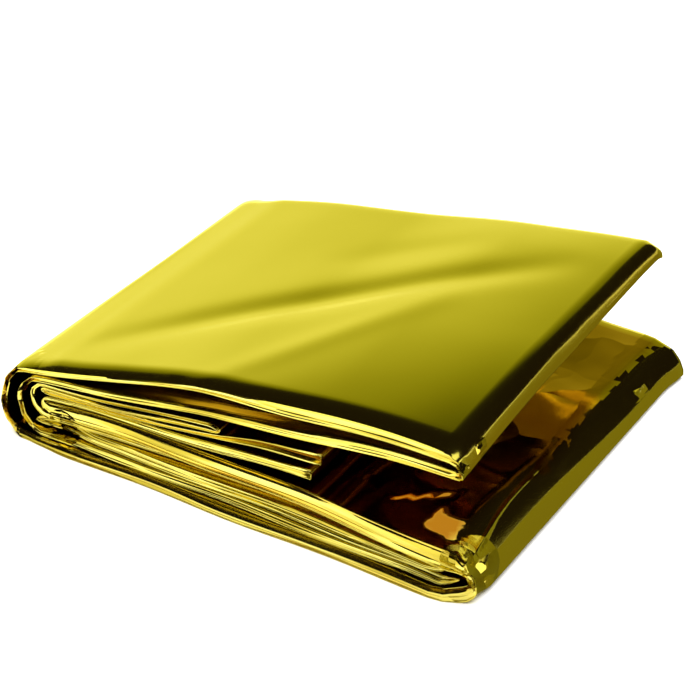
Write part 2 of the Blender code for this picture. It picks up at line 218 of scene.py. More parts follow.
# Where the film is crushed into small hard facets: middle, reach, how far its facets are
# pushed in and out, and how strongly it is crumpled.
Crush = namedtuple("Crush", "x y z reach push strength")
CRUSHES = (
    Crush(116.0, -1.0, 10.5, 5.5, 0.15, 0.9),
    Crush(117.6, -1.8, 32.0, 2.8, 0.1, 1.3),
    Crush(122.0, 100.0, 6.0, 13.0, 0.3, 0.3),
    Crush(117.2, 6.0, 34.5, 1.8, 0.0, 1.3),
    Crush(121.2, 81.0, 8.0, 3.6, 0.2, 1.3),
    Crush(0.0, 0.0, 10.0, 13.0, 0.5, 0.8),
    Crush(16.0, 0.0, 7.0, 7.0, 0.5, 0.8),
)
# The lines that a crush folds along, each with its pitch and height, and which way it pushes.
CRUSH_LINES = (
    ((0.80, 0.10, 0.59), 6.4, 0.42),
    ((0.42, -0.55, -0.72), 5.0, 0.28),
    ((0.15, 0.75, 0.64), 9.0, 0.50),
)
CRUSH_PUSHES = ((0.0, 0.9, 0.43), (0.6, 0.8, 0.0), (0.7, 0.1, 0.7))

# Depths of the sections: close together at the front and back edges, where the film turns.
FRONT_STATIONS = (0.0, 0.5, 1.1, 1.8, 2.6, 3.5, 4.5, 5.6, 6.8, 8.1, 9.5, 11.5)
BACK_STATIONS = (0.0, 0.8, 1.8, 3.0, 4.4, 6.0, 8.0, 10.0)
MIDDLE_STATIONS = 34

# The plies that show along a strip's edges, from the upper side down: the share of the
# thickness that each takes, and how far it lies behind the foremost one at the spine, in the
# middle and at the open side.
Ply = namedtuple("Ply", "share at_spine in_middle at_opening")
THIN_PLIES = (Ply(0.30, 0.0, 0.0, 0.0), Ply(0.40, 0.5, 0.5, 0.5), Ply(0.30, 0.1, 0.1, 0.1))
PLIES = {
    "u1": (Ply(0.50, 0.0, 0.0, 0.0), Ply(0.30, 0.9, 0.1, 0.1), Ply(0.20, 1.3, 0.1, 0.1)),
    "u2": (Ply(0.40, 0.0, 0.0, 0.1), Ply(0.30, 0.1, 0.1, 0.0), Ply(0.30, 0.0, 0.2, 0.2)),
    "s1u": THIN_PLIES,
    "s1l": THIN_PLIES,
    "s2u": (Ply(0.22, 0.0, 0.0, 0.0), Ply(0.60, 0.5, 0.9, 1.2), Ply(0.18, 0.1, 0.1, 0.1)),
    "s2l": (Ply(0.30, 0.1, 0.1, 0.1), Ply(0.45, 0.0, 0.0, 0.0), Ply(0.25, 0.2, 0.2, 0.1)),
    "l6": (Ply(0.13, 0.4, 0.7, 0.3), Ply(0.60, 0.0, 0.0, 0.0), Ply(0.27, 0.2, 0.5, 0.2)),
    "l5": (Ply(0.34, 0.0, 0.5, 0.5), Ply(0.33, 0.0, 0.0, 0.0), Ply(0.33, 0.2, 0.6, 0.6)),
    "l4": (Ply(0.34, 0.0, 0.0, 0.0), Ply(0.33, 0.1, 0.1, 0.1), Ply(0.33, 0.1, 0.0, 0.3)),
    "l3": (Ply(0.34, 0.3, 0.1, 0.4), Ply(0.33, 0.0, 0.0, 0.1), Ply(0.33, 0.3, 0.1, 0.5)),
    "l2": (Ply(0.34, 0.0, 0.1, 0.2), Ply(0.33, 0.0, 0.0, 0.0), Ply(0.33, 0.1, 0.1, 0.1)),
    "l1": (Ply(0.42, 1.6, 1.9, 1.5), Ply(0.28, 0.0, 0.0, 0.1), Ply(0.30, 0.4, 0.3, 0.3)),
}
HOLLOW = (Ply(0.04, 0.2, 0.2, 0.2), Ply(0.90, 1.5, 1.5, 1.5), Ply(0.06, 0.2, 0.2, 0.2))
PARTED = (Ply(0.25, 0.0, 0.0, 0.0), Ply(0.50, 0.9, 0.9, 0.9), Ply(0.25, 0.1, 0.1, 0.1))
FOLD_PLIES = {6: HOLLOW, 7: PARTED, 8: HOLLOW}  # by the number of the fold
FOLD_BLEND = 0.12  # share of a fold over which its plies take over from the strips'
PLY_COUNT = 3  # plies that show in each edge
PLY_ROWS = (-0.9, -0.45, 0.45, 0.9)  # rows of points across a ply's rounded edge
PLY_ROUND = 0.15  # how far a ply's edge bulges, as a share of its width
NOSE_OUT = 0.15  # how far the foremost ply stands out past the sides
PLY_WANDER = 0.12  # how far a ply's edge wanders in and out
WANDER_LONG, WANDER_SHORT = 13.0, 4.3  # lengths of its long and short waves
SHORT_SHARE = 0.6  # height of the short ones against the long ones
PLY_SHIFT, STRIP_SHIFT = 2.3, 1.7  # how far the waves shift from ply to ply and strip to strip


def mix(low, high, share):
    return low + (high - low) * share


def clamped(value):
    return np.clip(value, 0.0, 1.0)


def risen(value, start, full):
    """0 up to the start, rising evenly to 1 when full."""
    return clamped((value - start) / (full - start))


def eased(share):
    """The share with a soft start and a soft end."""
    return share**2 * (3.0 - 2.0 * share)


def smooth_curve(places, values, x):
    """Value at x on a smooth curve through the values at these places."""
    places, values = np.array(places, float), np.array(values, float)
    rows = np.arange(len(places))
    low, high = np.maximum(rows - 1, 0), np.minimum(rows + 1, rows[-1])
    slopes = (values[high] - values[low]) / (places[high] - places[low])
    x = np.clip(x, places[0], places[-1])
    left = np.clip(np.searchsorted(places, x) - 1, 0, len(places) - 2)
    width = places[left + 1] - places[left]
    t = (x - places[left]) / width
    rise = (2 * t**3 - 3 * t**2 + 1) * values[left] + (3 * t**2 - 2 * t**3) * values[left + 1]
    return rise + width * (
        (t**3 - 2 * t**2 + t) * slopes[left] + (t**3 - t**2) * slopes[left + 1]
    )


def in_table(rows, column, x):
    return smooth_curve([row.x for row in rows], [getattr(row, column) for row in rows], x)


def rim(edge_distance, width):
    """0 at an edge, rising on a parabola to 1 at the given width."""
    inward = clamped(edge_distance / width)
    return 1.0 - (1.0 - inward) ** 2


def crown(name, x, depth):
    if name not in CROWN:
        return 0.0
    from_edge = np.minimum(depth, 1.0 - depth) * DEPTH
    from_spine = clamped(x / CROWN_START)
    return CROWN[name] * rim(from_edge, CROWN_RIM) * from_spine


def belly(x, depth):
    """How far the upper leaf's first strip sags on the one below, away from its edges."""
    from_edge = np.minimum(depth, 1.0 - depth) * DEPTH
    along = np.interp(x, BELLY_REACH, (0.0, 1.0, 1.0, 0.0))
    return eased(risen(from_edge, *BELLY_RISE)) * along


def strip_sides(name, x, depth):
    """Upper and lower side of a strip at x, for a depth of 0 at the front to 1 at the back."""
    front_rows, back_rows = LEAF_TABLES[name[0]]

    def at(column):
        return mix(in_table(front_rows, column, x), in_table(back_rows, column, x), depth)

    top = at(name) + crown(name, x, depth)
    if name.startswith("l"):
        number = int(name[1])
        bottom = at("l" + str(number - 1)) + GAP if number > 1 else np.zeros_like(top)
        return top, bottom
    if name.startswith("s1"):
        return top, top - SHORT_THICK
    bottom = top - at(name + "_thick")
    if name == "u1":
        rest_on = at("u2") + crown("u2", x, depth)
        bottom = mix(bottom, np.minimum(bottom, rest_on + BELLY_GAP), belly(x, depth))
    return top, bottom


def fold_apex(fold, depth):
    return mix(fold.apex_near, fold.apex_far, depth)


def fold_arrive(number, depth):
    """Length of a fold's second quarter. The lower leaf's own fold is squarer near the front."""
    if number != SQUARE_FOLD:
        return FOLDS[number].arrive
    opened = clamped(depth * DEPTH / SQUARE_DEPTH)
    return mix(SQUARE_ARRIVE, FOLDS[number].arrive, eased(opened))


def strip_ends(number, depth):
    """Where a strip starts and ends between its two folds, at a depth."""
    start, end = mix(*FIRST_END, depth), mix(*LAST_END, depth)
    if number > 0:
        before = FOLDS[number - 1]
        start = fold_apex(before, depth) - before.side * fold_arrive(number - 1, depth)
    if number < len(FOLDS):
        after = FOLDS[number]
        end = fold_apex(after, depth) - after.side * after.leave
    return start, end


def strip_run(number, depth):
    """X, then Z of sides a and b, along a strip. Side a is on the left of the way it runs."""
    start, end = strip_ends(number, depth)
    x = start + (end - start) * np.linspace(0.0, 1.0, STRIPS[number].steps + 1)
    top, bottom = strip_sides(STRIPS[number].name, x, depth)
    runs_out = number % 2 == 1
    return (x, x), ((top, bottom) if runs_out else (bottom, top))


def fold_side(leave, arrive, apex_x, fold, depth):
    """X and Z of a fold's outline: two quarter ellipses that meet at its apex, in flat facets."""
    (leave_x, leave_z), (arrive_x, arrive_z) = leave, arrive
    apex_z = mix(np.minimum(leave_z, arrive_z), np.maximum(leave_z, arrive_z), fold.rise)
    shifts = np.arange(len(fold.corners)) * SLANT_SHIFT
    slant = np.sin(2.0 * math.pi * SLANT_TURNS * depth + shifts)
    corners = np.radians(np.array(fold.corners) + CORNER_SLANT * slant)
    flat = np.ones_like(depth)
    angles = np.hstack([0.0 * flat, corners, math.pi / 2 * flat])
    steps = np.arange(1, len(fold.corners) + 1)
    stops = np.sort(np.hstack([steps - CORNER_WIDTH, steps + CORNER_WIDTH, steps + 0.5, 0.5]))
    left = stops.astype(int)
    share = stops - left

    def quarter(start_x, start_z):
        x = mix(start_x, apex_x, np.sin(angles))
        z = mix(apex_z, start_z, np.cos(angles))
        return mix(x[:, left], x[:, left + 1], share), mix(z[:, left], z[:, left + 1], share)

    out_x, out_z = quarter(leave_x, leave_z)
    back_x, back_z = quarter(arrive_x, arrive_z)
    return (
        np.hstack([out_x, apex_x, back_x[:, ::-1]]),
        np.hstack([out_z, apex_z, back_z[:, ::-1]]),
    )


def fold_run(fold, before, after, depth):
    """X and Z of sides a and b round a fold."""
    leave = [(before[0][s][:, -1:], before[1][s][:, -1:]) for s in (0, 1)]
    arrive = [(after[0][s][:, :1], after[1][s][:, :1]) for s in (0, 1)]
    spans = [np.abs(leave[s][1] - arrive[s][1]).mean() for s in (0, 1)]
    apex = fold_apex(fold, depth)
    turned = []
    for s in (0, 1):
        reach = apex if spans[s] == max(spans) else apex - fold.side * fold.thick
        turned.append(fold_side(leave[s], arrive[s], reach, fold, depth))
    return tuple(zip(*turned))


def sections(depth):
    """X and Z of sides a and b at every depth and path point, and each point's place.

    A place is the strip that the path comes from, the one it goes to, and the share of the way."""
    strips = [strip_run(number, depth) for number in range(len(STRIPS))]
    columns, places = [], []
    for number, run in enumerate(strips):
        if number > 0:
            turned = fold_run(FOLDS[number - 1], strips[number - 1], run, depth)
            count = turned[0][0].shape[1]
            columns.append(turned)
            shares = np.arange(1, count + 1) / (count + 1)
            places.append(np.array([[number - 1, number, share] for share in shares]))
        columns.append(run)
        places.append(np.array([[number, number, 0.0]] * run[0][0].shape[1]))
    sides = []
    for s in (0, 1):
        x = np.hstack([column[0][s] for column in columns])
        z = np.hstack([column[1][s] for column in columns])
        sides.append((x, z))
    return sides, np.vstack(places)


def edge_line(numbers, x, depth):
    """Y of strips at a depth, between their two slightly wavy edges."""
    ends = np.array([strip[1:5] for strip in STRIPS])[numbers]
    near_spine, near_open, far_spine, far_open = ends.T
    share = np.clip(x / LEAF, -EDGE_OVERRUN, 1.0 + EDGE_OVERRUN)
    front = mix(near_spine, near_open, share)
    back = mix(far_spine, far_open, share)
    wave = EDGE_WAVE * np.sin(2.0 * math.pi * x / EDGE_WAVE_PITCH + numbers)
    names = np.array([strip.name for strip in STRIPS])[numbers]
    for bite in BITES:
        off = clamped(np.abs(x - bite.x) / bite.half)
        front = front + np.where(names == bite.name, bite.depth * (1.0 - off**2) ** 2, 0.0)
    return mix(front + wave, back - wave, depth)


def crease_lift(kind, x, y):
    """Height of the soft creases across one leaf, u or l, with the upper leaf's swelling."""
    lift = np.zeros_like(x)
    for crease in CREASES:
        if crease.strips != kind:
            continue
        along_x, along_y = crease.x1 - crease.x0, crease.y1 - crease.y0
        length = math.hypot(along_x, along_y)
        along = ((x - crease.x0) * along_x + (y - crease.y0) * along_y) / length**2
        across = ((x - crease.x0) * along_y - (y - crease.y0) * along_x) / length
        fade = np.clip(1.0 - (2.0 * along - 1.0) ** 2, 0.0, None)
        lift += crease.height * fade * np.exp(-((across / crease.width) ** 2))
    if kind == "u":
        along = risen(x, *SWELL_RISE)
        near_in = clamped(1.0 - y / SWELL_NEAR_WIDTH)
        far_in = clamped(1.0 - (DEPTH - y) / SWELL_FAR_WIDTH)
        rise = SWELL_NEAR * (1.0 - near_in**2) - SWELL_FAR * far_in**2
        lift += rise * eased(along)
    return lift


def near(points, middle, reach):
    """1 at the middle, falling to 0 at this distance from it."""
    distance = np.linalg.norm(points - np.array(middle), axis=-1)
    return clamped(1.0 - (distance / reach) ** 2)


def zigzag(phase):
    """A folded line between -1 and 1 that turns once a unit."""
    return 4.0 * np.abs(phase - np.floor(phase) - 0.5) - 1.0


def crushed(points):
    """The points after every crush: little flat facets, pushed in and out along folded lines."""
    moved = points.copy()
    for spot in CRUSHES:
        weight = spot.push * near(points, spot[:3], spot.reach) ** 2
        for (line, pitch, height), push in zip(CRUSH_LINES, CRUSH_PUSHES):
            folded = zigzag(points @ np.array(line) / pitch + spot.x) * height
            moved += (weight * folded)[..., None] * np.array(push)
    return moved


def dented(points):
    """The points after every dent. What lies on the surface stays on it."""
    grip = clamped(points[..., 2] / DENT_FULL_HEIGHT)
    moved = points.copy()
    for dent in DENTS:
        weight = near(points, dent[:3], dent.reach) ** 2
        moved[..., 0] += dent.dx * weight
        moved[..., 1] += dent.dy * weight
        moved[..., 2] += dent.dz * weight * grip
    return moved


def stations():
    """Depths of the sections, as shares of the way from front to back."""
    middle = np.linspace(FRONT_STATIONS[-1], DEPTH - BACK_STATIONS[-1], MIDDLE_STATIONS + 1)[1:-1]
    back = [DEPTH - distance for distance in reversed(BACK_STATIONS)]
    return np.array([*FRONT_STATIONS, *middle, *back]) / DEPTH


def placed(x, z, places, depth):
    """Points in space of one side, with the creases that run over the leaves."""
    numbers = places[:, :2].astype(int)
    share = places[:, 2]
    y = mix(edge_line(numbers[:, 0], x, depth), edge_line(numbers[:, 1], x, depth), share)
    lift = np.zeros_like(x)
    for kind in ("u", "l"):
        on_kind = np.array([strip.name.startswith(kind) for strip in STRIPS], float)
        weight = mix(on_kind[numbers[:, 0]], on_kind[numbers[:, 1]], share)
        lift += crease_lift(kind, x, y) * weight
    raised = clamped(z / CREASE_FULL_HEIGHT)
    return np.stack([x, y, z + lift * raised], axis=-1)


def sheet_sides():
    """Points of the sheet's sides a and b, and the places of their columns."""
    depth = stations()[:, None]
    ((a_x, a_z), (b_x, b_z)), places = sections(depth)
    side_a = placed(a_x, a_z, places, depth)
    side_b = placed(b_x, b_z, places, depth)
    return side_a, side_b, places


def ply_rows(plies, x, thick, phase):
    """Shares across the thickness, from the upper side, and how far in each row of points lies."""
    shares, depths = [], []
    start = 0.0
    place = x / LEAF
    for number, ply in enumerate(plies):
        behind = mix(ply.at_spine, ply.in_middle, clamped(place * 2.0))
        behind = mix(behind, ply.at_opening, clamped(place * 2.0 - 1.0))
        shift = phase + number * PLY_SHIFT
        long_wave = np.sin(x / WANDER_LONG + shift)
        short_wave = np.sin(x / WANDER_SHORT + 2.0 * shift)
        behind = behind + PLY_WANDER * (1.0 + (long_wave + SHORT_SHARE * short_wave))
        for row in PLY_ROWS:
            shares.append(start + ply.share * (row + 1.0) / 2.0)
            bulge = 1.0 - math.sqrt(1.0 - row**2)
            depths.append(behind + bulge * PLY_ROUND * ply.share * thick)
        start += ply.share
    return np.array(shares), np.array(depths)


def fold_weights(places, fold):
    """1 round a fold, 0 on the strips beside it."""
    inside = clamped(np.minimum(places[:, 2], 1.0 - places[:, 2]) / FOLD_BLEND)
    return inside * (places[:, 0] == fold) * (places[:, 2] > 0.0)


def edge_rows(side_a, side_b, places, outward):
    """Rows of points over the plies at the front or back edge, from side a to side b.

    Returns the points, and how far in from the foremost ply each lies."""
    numbers = np.where(places[:, 2] < 0.5, places[:, 0], places[:, 1]).astype(int)
    most = PLY_COUNT * len(PLY_ROWS)
    rows = np.zeros((most, len(numbers), 3))
    inward = np.zeros((most, len(numbers)))
    thick = np.linalg.norm(side_a - side_b, axis=1)
    x = (side_a[:, 0] + side_b[:, 0]) / 2
    for number, strip in enumerate(STRIPS):
        here = numbers == number
        upper_is_a = number % 2 == 1
        shift = STRIP_SHIFT * number
        shares, depth = ply_rows(PLIES[strip.name], x[here], thick[here], shift)
        share = np.tile(shares[:, None], x[here].shape)
        for fold, plies in FOLD_PLIES.items():
            weight = fold_weights(places, fold)[here]
            fold_shares, fold_depths = ply_rows(plies, x[here], thick[here], shift)
            share = mix(share, fold_shares[:, None], weight)
            depth = mix(depth, fold_depths, weight)
        for place in range(most):
            towards = share[place] if upper_is_a else 1.0 - share[place]
            point = mix(side_a[here], side_b[here], towards[:, None])
            point[:, 1] += outward * (NOSE_OUT - depth[place])
            row = place if upper_is_a else most - 1 - place
            rows[row, here] = point
            inward[row, here] = depth[place]
    return rows, inward


def skin(side_a, side_b, front, back):
    """A closed mesh over the sections: two sides, two loose ends and the ply edges."""
    depths, count = side_a.shape[:2]
    points = np.vstack([part.reshape(-1, 3) for part in (side_a, side_b, front, back)])
    a = np.arange(depths * count).reshape(depths, count)
    b = a + depths * count
    front_rows = np.arange(front.shape[0] * count).reshape(-1, count) + 2 * depths * count
    back_rows = front_rows + front.shape[0] * count
    # Round the sheet once: side a, back plies, side b and front plies.
    loop = np.vstack([a, back_rows, b[::-1], front_rows[::-1]])
    loop = np.vstack([loop, loop[:1]])
    corners = (loop[:-1, :-1], loop[:-1, 1:], loop[1:, 1:], loop[1:, :-1])
    faces = np.stack([corner.ravel() for corner in corners], axis=1)
    ends = []
    for column, turned in ((0, False), (count - 1, True)):
        ring = loop[:-1, column]
        half_a = ring[:depths]
        half_b = ring[depths + len(back_rows) : 2 * depths + len(back_rows)][::-1]
        for row in range(depths - 1):
            quad = [half_a[row], half_b[row], half_b[row + 1], half_a[row + 1]]
            ends.append(quad[::-1] if turned else quad)
        for cap in (
            [half_a[0], *ring[2 * depths + len(back_rows) :][::-1], half_b[0]],
            [half_b[-1], *ring[depths : depths + len(back_rows)][::-1], half_a[-1]],
        ):
            ends.append(cap[::-1] if not turned else cap)
    return points, [*faces.tolist(), *[[int(v) for v in face] for face in ends]]


def side_share(places, on_side_a, faces):
    """1 where a side's points are on these faces, 0 elsewhere, and between them in the folds."""
    share = np.zeros(len(places))
    for weight, column in ((1.0 - places[:, 2], 0), (places[:, 2], 1)):
        for number, strip in enumerate(STRIPS):
            upper = (number % 2 == 1) == on_side_a
            if (strip.name, upper) in faces:
                share += weight * (places[:, column] == number)
    return share


# The faces of strips, each a strip's name and whether it is the upper.
OUTER_FACES = {("u1", True), ("l1", False)}
V_FACES = {("u2", False), ("l6", True)}
RECESS_FACES = {("u1", False), ("u2", True)}
TOP_FACE = {("l6", True)}  # the lower leaf's top

V_RISE = (50.0, 62.0)  # distances from the spine between which the V's own painted shade and crumples begin
OPEN_RISE = (88.0, 100.0)  # and between which its lower face's painted amber turns paler
TOP_SHADE, OPEN_SHADE = 0.3, 0.45  # how dark that face's painted shade is, before and past the second two
UNDER_NEAR, UNDER_FAR = 0.4, 0.95  # how dark the painted shade of its upper face is, at the front and at the back
UNDER_TURN = (45.0, 70.0)  # where along Y it turns from one to the other
FOLDED_SHADE, RECESS_SHADE = 0.2, 0.68  # painted shade of the other strips, and of the recess in the upper leaf
OPEN_PALE = 0.2  # how much of its painted amber the paler part loses
EDGE_FADE, EDGE_AMBER = 3.0, 0.15  # the painted amber and shade fade over this width, to this share at an edge
V_CRUSH = 0.4  # how crumpled the film is in the V
RECESS_STRANDS, STRANDS_REACH = 0.4, 12.0  # how much the plies show in the recess, as lines and as painted highlight and shade, and how far in

# How deep behind the foremost ply an edge is all painted amber, and has lost the plies' painted
# highlight, and the painted shade there: where it starts, as a share of the amber, and the most of
# it.
AMBER_DEPTH, LIT_DEPTH = 1.3, 0.8
DEEP_START, DEEP_SHADE = 0.5, 0.85

# A thin crease that runs along the lower leaf's top, just before it turns down, raised in the bump
# and painted plain gold as a highlight: X and Y.
SEAM = (
    (118.0, 1.0), (116.8, 9.0), (115.5, 22.0), (115.4, 40.0),
    (113.8, 57.0), (112.0, 78.0), (112.8, 96.0),
)
SEAM_END, SEAM_FADE = 46.0, 9.0  # where along Y it has faded out, and over what length
SEAM_WIDTH, SEAM_HEIGHT = 0.4, 0.34
FAR_AWAY = 9.0  # stands for a place far from the seam and from the level film

# The film lies level from just before the seam to this ragged edge past it: X and Y.
LEVEL_EDGE = (
    (113.5, 24.0), (115.0, 32.0), (116.6, 38.0), (116.6, 44.0), (115.7, 53.0), (114.9, 61.0),
    (114.8, 69.0), (115.1, 78.0), (115.0, 88.0), (115.7, 98.0), (116.0, 104.0),
)
LEVEL_BEFORE = 1.2  # how far before the seam it starts
LEVEL_START = 4.0  # how much faster it starts there than it ends at its edge
LEVEL_LEAN = 4.0  # how strongly its shading faces up
AMBER_BLEND = 1.5  # how far to each side of the ragged edge the painted amber and shade turn to plain gold
RAGGED_SCALE = 300.0
RAGGED_REACH, RAGGED_BLEND = 2.4, 0.15  # how ragged the edge is, and how soft

# Paler patches in the V, painted reflections: their shading leans towards the light and their
# painted shade is lighter. Middle, half lengths and slant.
Glimpse = namedtuple("Glimpse", "x y half_x half_y slant")
GLIMPSES = (Glimpse(109.4, 6.2, 4.4, 4.2, -0.2), Glimpse(100.8, 12.2, 5.7, 1.3, 0.78))
GLIMPSE_SOFT = 0.2  # share of their half lengths over which they fade
GLIMPSE_SHADE = 0.35  # how dark their painted shade is
GLIMPSE_LEAN = (0.8, -1.0)  # how far the film leans towards the light there, along X and Y


def glimpsed(x, y):
    """1 in the paler patches, 0 outside them, with fairly hard edges."""
    share = np.zeros_like(x)
    for patch in GLIMPSES:
        across = (y - patch.y - patch.slant * (x - patch.x)) / patch.half_y
        away = np.maximum(np.abs((x - patch.x) / patch.half_x), np.abs(across))
        share = np.maximum(share, clamped((1.0 - away) / GLIMPSE_SOFT))
    return share


def past_line(line, x, y):
    """How far a point lies past a line across the leaf, along X."""
    bend_x, bend_y = zip(*line)
    return x - smooth_curve(bend_y, bend_x, y)


def side_marks(side, on_side_a, places):
    """The marks of the points of one side."""
    x, y = side[..., 0], side[..., 1]
    from_edge = np.minimum(y - y[0], y[-1] - y)
    inside = 1.0 - side_share(places, on_side_a, OUTER_FACES)
    in_v = side_share(places, on_side_a, V_FACES) * risen(x, *V_RISE)
    recess = side_share(places, on_side_a, RECESS_FACES)
    on_top = side_share(places, on_side_a, TOP_FACE)
    opened = risen(x, *OPEN_RISE)
    # The paler patches on the lower leaf's top, painted reflections.
    painted_reflection_patch = on_top * glimpsed(x, y)
    past_seam = past_line(SEAM, x, y)
    past_level = past_line(LEVEL_EDGE, x, y)
    past_end = clamped(0.5 + past_level / (2.0 * AMBER_BLEND)) * on_top
    # Where the painted amber and painted shade go: the faces that lie inside, less at the edges and
    # none past the level film's edge.
    painted_inside = inside * (1.0 - past_end) * np.clip(from_edge / EDGE_FADE, EDGE_AMBER, 1.0)
    # Painted shade of the faces in the V, of the recess in the upper leaf and of the other strips.
    under = mix(UNDER_NEAR, UNDER_FAR, risen(y, *UNDER_TURN))
    leaf_shade = mix(under, mix(TOP_SHADE, OPEN_SHADE, opened), on_top)
    folded_shade = mix(FOLDED_SHADE, RECESS_SHADE, recess)
    level = np.maximum(past_level, -LEVEL_START * (past_seam + LEVEL_BEFORE))
    return {
        "inner": painted_inside * (1.0 - OPEN_PALE * on_top * opened * (1.0 - painted_reflection_patch)),
        "shade": painted_inside * mix(mix(folded_shade, leaf_shade, in_v), GLIMPSE_SHADE, painted_reflection_patch),
        "crush": V_CRUSH * in_v * (1.0 - past_end),
        "strands": RECESS_STRANDS * recess * np.exp(-from_edge / STRANDS_REACH),
        "seam": np.where(on_top > 0.0, past_seam, FAR_AWAY),
        "level": np.where(on_top > 0.5, level, FAR_AWAY),
        "lean": painted_reflection_patch,
    }


def edge_marks(inward):
    """The marks of the points over the plies, by how far in each lies: deeper plies get more
    painted amber and shade, and lose their painted highlight.
    """
    amber = inward / AMBER_DEPTH
    return {
        "inner": clamped(amber),
        "shade": np.clip(amber - DEEP_START, 0.0, DEEP_SHADE),
        "crush": 0.0,
        "strands": clamped(1.0 - inward / LIT_DEPTH),
        "seam": FAR_AWAY,
        "level": FAR_AWAY,
        "lean": 0.0,
    }


def film_marks(side_a, side_b, places, front, back, front_in, back_in):
    """Values stored on the sheet's points for its material, in the order of skin's points.

    along and across are lengths on the film. inner is the painted amber of what lies
    between the strips, which stands in for light bounced between the gold faces, and shade the
    painted shade there. crush is how crumpled the film is, strands how much
    its plies show as lines and as painted highlight and shade, and lean how far it leans towards
    the light. seam is the distance past the seam, and level is below 0 where the film lies level."""
    middle = (side_a[len(side_a) // 2] + side_b[len(side_a) // 2]) / 2
    steps = np.linalg.norm(np.diff(middle, axis=0), axis=1)
    along = np.concatenate([[0.0], np.cumsum(steps)])
    thick = [np.linalg.norm(side_a[end] - side_b[end], axis=1) for end in (0, -1)]
    rows = np.linspace(0.0, 1.0, len(front))[:, None]
    parts = (
        (side_a, side_a[..., 1], side_marks(side_a, True, places)),
        (side_b, side_b[..., 1], side_marks(side_b, False, places)),
        (front, rows * thick[0], edge_marks(front_in)),
        (back, rows * thick[1], edge_marks(back_in)),
    )
    stored = {}
    for points, across, marks in parts:
        for spot in CRUSHES:
            weight = spot.strength * near(points, spot[:3], spot.reach)
            marks["crush"] = np.maximum(marks["crush"], weight)
        for name, values in {"along": along, "across": across, **marks}.items():
            stored.setdefault(name, []).append(np.broadcast_to(values, across.shape).ravel())
    return {name: np.concatenate(values) for name, values in stored.items()}


def foil_sheet():
    side_a, side_b, places = sheet_sides()
    front, front_in = edge_rows(side_a[0], side_b[0], places, -1.0)
    back, back_in = edge_rows(side_a[-1], side_b[-1], places, 1.0)
    marks = film_marks(side_a, side_b, places, front, back, front_in, back_in)
    points, faces = skin(side_a, side_b, front, back)
    points = crushed(dented(points))
    points[:, 2] = np.maximum(points[:, 2], 0.0)
    points[:, :2] -= BOX_MIDDLE
    points *= MM
    data = bpy.data.meshes.new("foil_sheet")
    data.from_pydata(points.tolist(), [], faces)
    for name, values in marks.items():
        data.attributes.new(name, "FLOAT", "POINT").data.foreach_set("value", values)
    data.update()
    sheet = bpy.data.objects.new("foil_sheet", data)
    bpy.context.scene.collection.objects.link(sheet)
    bpy.ops.object.select_all(action="DESELECT")
    sheet.select_set(True)
    bpy.context.view_layer.objects.active = sheet
    bpy.ops.object.mode_set(mode="EDIT")
    bpy.ops.mesh.select_all(action="SELECT")
    bpy.ops.mesh.normals_make_consistent(inside=False)
    bpy.ops.object.mode_set(mode="OBJECT")
    bpy.ops.object.shade_smooth()
    sheet.data.materials.append(gold_film())
    return sheet


class Wiring:
    """Adds nodes to a tree and joins them, so that each value is made in one line."""

    def __init__(self, tree):
        self.tree = tree

    def node(self, kind, settings=None, **inputs):
        made = self.tree.nodes.new("ShaderNode" + kind)
        for name, value in (settings or {}).items():
            setattr(made, name, value)
        for name, value in inputs.items():
            self.feed(made.inputs[name], value)
        return made

    def feed(self, socket, value):
        if isinstance(value, bpy.types.NodeSocket):
            self.tree.links.new(value, socket)
        else:
            socket.default_value = value

    def feed_all(self, made, values):
        for socket, value in zip(made.inputs, values):
            self.feed(socket, value)
        return made

    def math(self, operation, *values, clamp=False):
        settings = {"operation": operation, "use_clamp": clamp}
        return self.feed_all(self.node("Math", settings), values).outputs[0]

    def times(self, first, second):
        return self.math("MULTIPLY", first, second)

    def vector(self, operation, *values, gives="Vector"):
        made = self.node("VectorMath", {"operation": operation})
        return self.feed_all(made, values).outputs[gives]

    def mark(self, name):
        return self.node("Attribute", {"attribute_name": name}).outputs["Fac"]

    def mix(self, share, low, high):
        made = self.node("Mix", {"data_type": "RGBA"})
        # Sockets 6 and 7 take its two colours, and output 2 gives the mixed one.
        for number, value in ((0, share), (6, low), (7, high)):
            self.feed(made.inputs[number], value)
        return made.outputs[2]


def new_material(name):
    material = bpy.data.materials.new(name)
    material.use_nodes = True
    return material, Wiring(material.node_tree)


# Broad soft waves of film that has lain folded. Scales are turns a metre, heights millimetres.
WAVE_SCALE, WAVE_ROUGHNESS, WAVE_HEIGHT = 38.0, 0.4, 0.14
# Hard facets where the film is crushed, bent a little so that they differ.
BEND_SCALE, BEND_REACH = 60.0, 0.012
FACET_SCALE, FACET_HEIGHT = 34.0, 1.8
# Small facets, which come only where it is crushed hard.
BIT_SCALE, BIT_HEIGHT = 115.0, 4.5
BIT_RISE, BIT_START = 1.8, -0.8

STAR = (118.8, 3.0, 6.4)  # where the creases in the crushed corner meet
STAR_REACH, STAR_WIDTH = 5.6, 2.4
STAR_FULL = 1.4  # how strong they are at their middle, before they fade; past 1 is cut off
# Each crease of the star: the direction across it, and how steep it is.
StarFold = namedtuple("StarFold", "across height")
STAR_FOLDS = (
    StarFold((-0.40, 0.14, 0.91), -0.8),
    StarFold((-0.33, 0.57, 0.75), 0.5),
    StarFold((-0.19, 0.90, 0.40), 1.15),
)

# Thin lines of the single plies: turns a millimetre along and across the film, and height.
LINE_ALONG, LINE_ACROSS = 0.03, 1.1
LINE_DETAIL, LINE_ROUGHNESS = 1.6, 0.55
LINE_HEIGHT = 0.26


